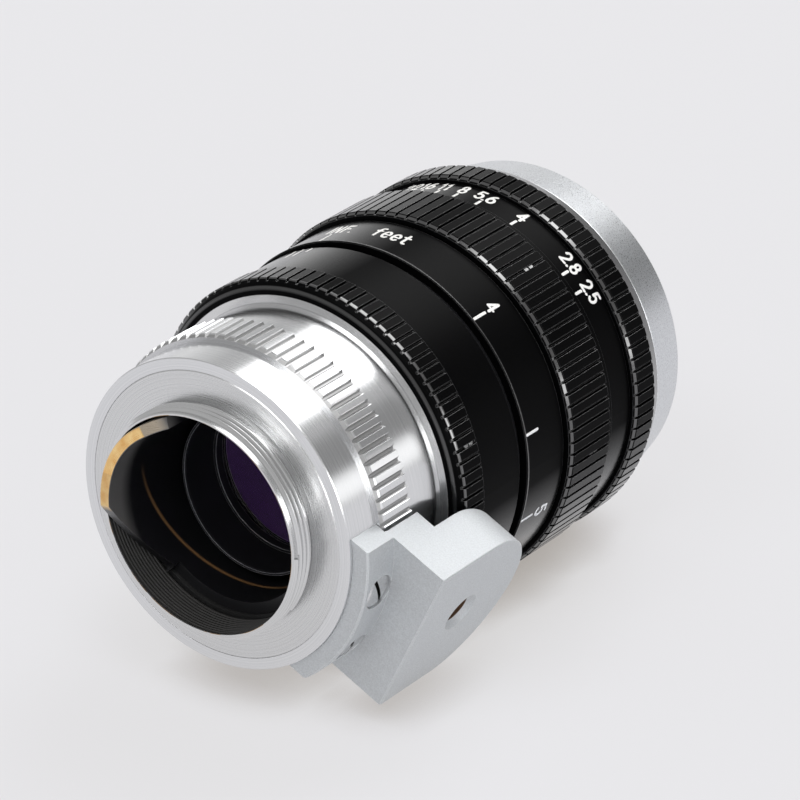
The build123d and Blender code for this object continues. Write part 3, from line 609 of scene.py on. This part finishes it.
strokes_of = {
    "1": (0.30, [[(0.02, 0.80), (0.22, 1.0), (0.22, 0.0)]]),
    "2": (0.60, [arc(0.30, 0.70, 0.29, 0.30, 165, -38) + [(0.03, 0.0)], [(0.03, 0.0), (0.60, 0.0)]]),
    "4": (0.60, [[(0.45, 0.0), (0.45, 1.0)], [(0.45, 1.0), (0.0, 0.30)], [(0.0, 0.30), (0.62, 0.30)]]),
    "5": (0.58, [[(0.54, 1.0), (0.12, 1.0)], [(0.12, 1.0), (0.06, 0.56)],
                 arc(0.29, 0.32, 0.30, 0.32, 135, -150)]),
    "6": (0.60, [arc(0.30, 0.30, 0.29, 0.30, 0, 360, 14), arc(0.62, 0.30, 0.61, 0.70, 180, 108, 6)]),
    "8": (0.60, [arc(0.30, 0.76, 0.23, 0.24, 0, 360, 12), arc(0.30, 0.27, 0.29, 0.27, 0, 360, 14)]),
    ".": (0.02, [[(0.0, 0.0), (0.02, 0.0)]]),
    "f": (0.42, [[(0.18, 0.0)] + arc(0.38, 0.78, 0.20, 0.22, 180, 70, 6), [(0.02, 0.66), (0.38, 0.66)]]),
    "e": (0.52, [[(0.04, 0.38), (0.52, 0.38)] + arc(0.28, 0.37, 0.25, 0.37, 20, 315, 12)]),
    "t": (0.42, [[(0.18, 0.98), (0.18, 0.18)] + arc(0.36, 0.18, 0.18, 0.18, 180, 290, 5),
                 [(0.0, 0.70), (0.40, 0.70)]]),
    "I": (0.10, [[(0.05, 0.0), (0.05, 1.0)]]),
    "N": (0.60, [[(0.05, 0.0), (0.05, 1.0)], [(0.05, 1.0), (0.55, 0.0)], [(0.55, 0.0), (0.55, 1.0)]]),
    "F": (0.50, [[(0.05, 0.0), (0.05, 1.0)], [(0.05, 1.0), (0.50, 1.0)], [(0.05, 0.54), (0.42, 0.54)]]),
}


def word(text, radius, phi, y, high, wide, gap):
    """Strokes of a word that is centred on phi and stands on y, as points (length round the ring, y)."""
    total = sum(strokes_of[letter][0] for letter in text) * wide + gap * (len(text) - 1)
    x, strokes = -math.radians(phi) * radius - total / 2, []
    for letter in text:
        breadth, lines = strokes_of[letter]
        strokes += [[(x + px * wide, y + py * high) for px, py in line] for line in lines]
        x += breadth * wide + gap
    return strokes


def tick(radius, phi, y0, y1):
    x = -math.radians(phi) * radius
    return [(x, y0), (x, y1)]


flattened = 0.14                     # how much of a stroke's roundness is left on the ring


def engrave(name, strokes, radius, width, finish, body):
    """Makes the strokes solid, rounds their ends, and wraps them on the ring."""
    curve = bpy.data.curves.new(name, "CURVE")
    curve.dimensions, curve.bevel_depth, curve.bevel_resolution = "3D", width / 2, 2
    curve.use_fill_caps = True
    for stroke in strokes:
        points = [(x, y, 1.0) for x, y in stroke]
        ring = math.dist(stroke[0], stroke[-1]) < 1e-6
        if ring:
            points = points[:-1]
        else:
            for end, beside in ((0, 1), (-1, -2)):
                tip, inner = Vector(stroke[end]), Vector(stroke[beside])
                out = (tip - inner).normalized() * width / 2
                cap = [(*(tip + out * math.sin(a)), math.cos(a)) for a in map(math.radians, (35, 65, 86))]
                points = points + cap if end else cap[::-1] + points
        spline = curve.splines.new("POLY")
        spline.points.add(len(points) - 1)
        spline.use_cyclic_u = ring
        for point, (x, y, share) in zip(spline.points, points):
            point.co, point.radius = (x, y, 0, 1), share
    solid = bpy.data.objects.new(name + "_strokes", curve)
    mesh = bpy.data.meshes.new_from_object(solid)
    bpy.data.objects.remove(solid)
    bpy.data.curves.remove(curve)
    shape = bmesh.new()
    shape.from_mesh(mesh)
    bpy.data.meshes.remove(mesh)
    for vertex in shape.verts:
        x, y, z = vertex.co
        height, angle = radius + z * flattened, -x / radius
        vertex.co = Vector((height * math.cos(angle), y, height * math.sin(angle))) * MM
    return piece(name, shape, finish, body, "black_enamel")


white_paint, tree = material("white_paint")
pits = use(tree, grain, Scale=3500.0)
surface(tree, tint(tree, spread(tree, pits, 0, 1), (0.72, 0.71, 0.68), (0.88, 0.87, 0.85)),
        spread(tree, pits, 0.4, 0.6), 0.0, pits, 0.3)

aperture_r, focus_r, index_r = 30.9, 31.0, 30.5
infinity_phi, index_tip = 110.4, 39.4
distances = (                        # each word's angle, y, height, width and gap between letters
    ("4", 50.4, 45.60, 2.75, 2.10, 0.6), ("5", -18.2, 45.80, 2.90, 2.60, 0.6),
    ("feet", 90.2, 45.60, 3.0, 2.35, 0.66), ("INF.", 109.2, 45.60, 3.0, 2.35, 0.66))
stops = (                            # the angle of each stop's tick, and of its figure from the tick
    ("2.5", 40.85, -1.65), ("2.8", 47.95, 1.7), ("4", 70.45, 0.1), ("5.6", 84.15, 0.15),
    ("8", 92.65, 0.0), ("11", 99.65, 0.0), ("16", 105.95, 0.0), ("22", 111.25, 1.1))
strokes = []
for figure, phi, shift in stops:
    strokes.append(tick(aperture_r, phi, 65.30, 66.75))
    strokes += word(figure, aperture_r, phi + shift, 67.42, 2.50, 2.05, 0.56)
engrave("aperture_numbers", strokes, aperture_r, 0.52, white_paint, "aperture_ring")

strokes = [tick(focus_r, phi, 41.75, 44.70) for phi in (50.0, 11.5, -17.9, infinity_phi)]
for text, *places in distances:
    strokes += word(text, focus_r, *places)
engrave("focus_numbers", strokes, focus_r, 0.50, white_paint, "focus_ring")

depth_phis = (113.8, 117.2)
strokes = [tick(index_r, infinity_phi, 38.0, index_tip)]
strokes += [tick(index_r, phi, 36.6, index_tip) for phi in depth_phis]
engrave("index_lines", strokes, index_r, 0.40, white_paint, "fixed_barrel")


# Front ring thread
# The filter thread, 52 mm across and 0.75 mm a turn. It is cut in the bore of the front ring, so it has
# the same blasted chrome.
filter_r, filter_pitch, filter_turns, filter_y = 26.0, 0.75, 3.0, 84.70
filter_crest, filter_root = filter_r - 0.36, filter_r + 0.05

shape = bmesh.new()
lathe(shape, [(filter_root, filter_y), (filter_crest, filter_y + 0.32), (filter_crest, filter_y + 0.38),
              (filter_root, filter_y + 0.70)], turns=filter_turns, rise=filter_pitch)
piece("filter_thread", shape, blasted, "lens_head", "satin_aluminium")


# Sleeves, cells and housings
# The turning sleeve, the sliding head and the cells that hold the glass: turned aluminium, anodised matt
# black so that no light wanders through the lens. Their edges are worn bright in places.
black_anodised, tree = material("black_anodised")
marks = use(tree, turning, Lines_per_Metre=5000.0)
edge = use(tree, edge_mask, Gain=2.0, Radius=0.22 * MM)
colour = tint(tree, spread(tree, marks, 0, 1), (0.005, 0.005, 0.006), (0.012, 0.012, 0.014))
surface(tree, tint(tree, edge, colour, (0.70, 0.70, 0.74)), spread(tree, marks, 0.34, 0.48), edge, marks, 0.3,
        edge=0.08, Specular_IOR_Level=0.25)
dress(black_anodised, "focus_sleeve", "head_barrel", "iris_housing", "iris_drive_ring", "front_cell",
      "front_retaining_ring", "element_spacers", "rear_cell", "rear_retaining_ring")


# Iris blades
# Eight thin crescents of spring steel, stamped, brushed flat and blued. Each turns on a pin in the iris
# housing and is led by a slot of the drive ring.
blued_steel, tree = material("blued_steel")
place = add(tree, "ShaderNodeTexCoord").outputs["Object"]
drawn = add(tree, "ShaderNodeMapping", {"Vector": place, "Scale": (300, 300, 9000)}).outputs[0]
brushed = add(tree, "ShaderNodeTexNoise", {"Vector": drawn, "Scale": 1.0, "Detail": 3.0}).outputs[0]
surface(tree, tint(tree, spread(tree, brushed, 0, 1), (0.030, 0.032, 0.040), (0.065, 0.068, 0.085)),
        spread(tree, brushed, 0.28, 0.42), 1.0, brushed, 0.15)
dress(blued_steel, *(f"iris_blade_{n}" for n in range(1, 9)))


# Glass
# Ground and polished elements, held by their cells and retaining rings. The coating of their time
# reflects violet and blue, a little differently from each.
coatings = {"rear_element": (0.30, 0.12, 0.55), "third_element": (0.40, 0.08, 0.20),
            "second_element": (0.12, 0.14, 0.42), "front_element": (0.22, 0.10, 0.42)}

for name, colour in coatings.items():
    glass, tree = material("coated_glass_" + name)
    place = add(tree, "ShaderNodeTexCoord").outputs["Object"]
    haze = add(tree, "ShaderNodeTexNoise", {"Vector": place, "Scale": 260.0, "Detail": 3.0}).outputs[0]
    shader = add(tree, "ShaderNodeBsdfPrincipled", {
        "Base Color": (0.97, 0.97, 0.96, 1), "Roughness": spread(tree, haze, 0.0, 0.03), "IOR": 1.62,
        "Transmission Weight": 1.0, "Specular Tint": (*colour, 1)})
    add(tree, "ShaderNodeOutputMaterial", {"Surface": shader.outputs[0]})
    dress(glass, name)
